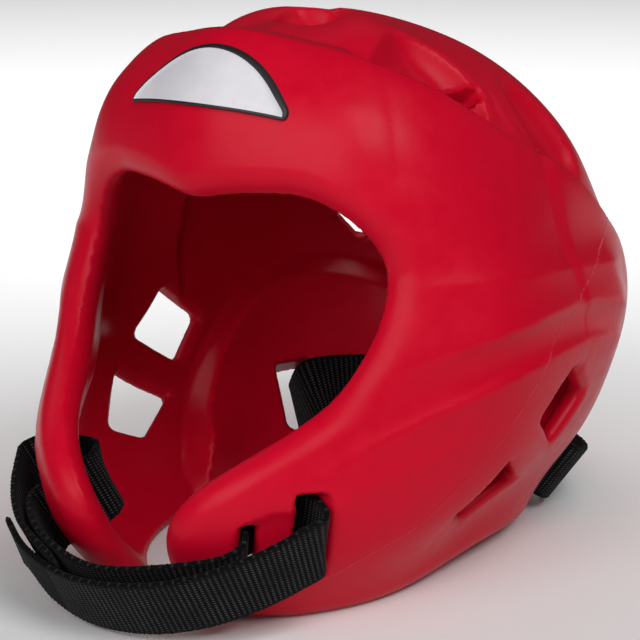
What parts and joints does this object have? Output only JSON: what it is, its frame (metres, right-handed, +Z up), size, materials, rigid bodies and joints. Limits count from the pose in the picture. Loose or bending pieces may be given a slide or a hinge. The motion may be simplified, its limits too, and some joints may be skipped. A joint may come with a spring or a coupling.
{
  "type": "head guard",
  "caption": "Moulded foam head guard with a face opening, ear holes, scooped vents, a bare brow badge, a fastened chin strap and a nape strap.",
  "frame": {"origin": "middle of the footprint, on the surface that the guard rests on", "axes": "+Z up, -Y the way the face looks, +X the wearer's left"},
  "size_m": [0.1976, 0.2668, 0.1955],
  "materials": {
    "foam": "satin moulded skin",
    "badge": "matte",
    "webbing": "woven"
  },
  "bodies": {
    "root": {"shell": "foam", "badge": "badge", "chin_strap": "webbing", "nape_strap": "webbing"}
  },
  "joints": []
}
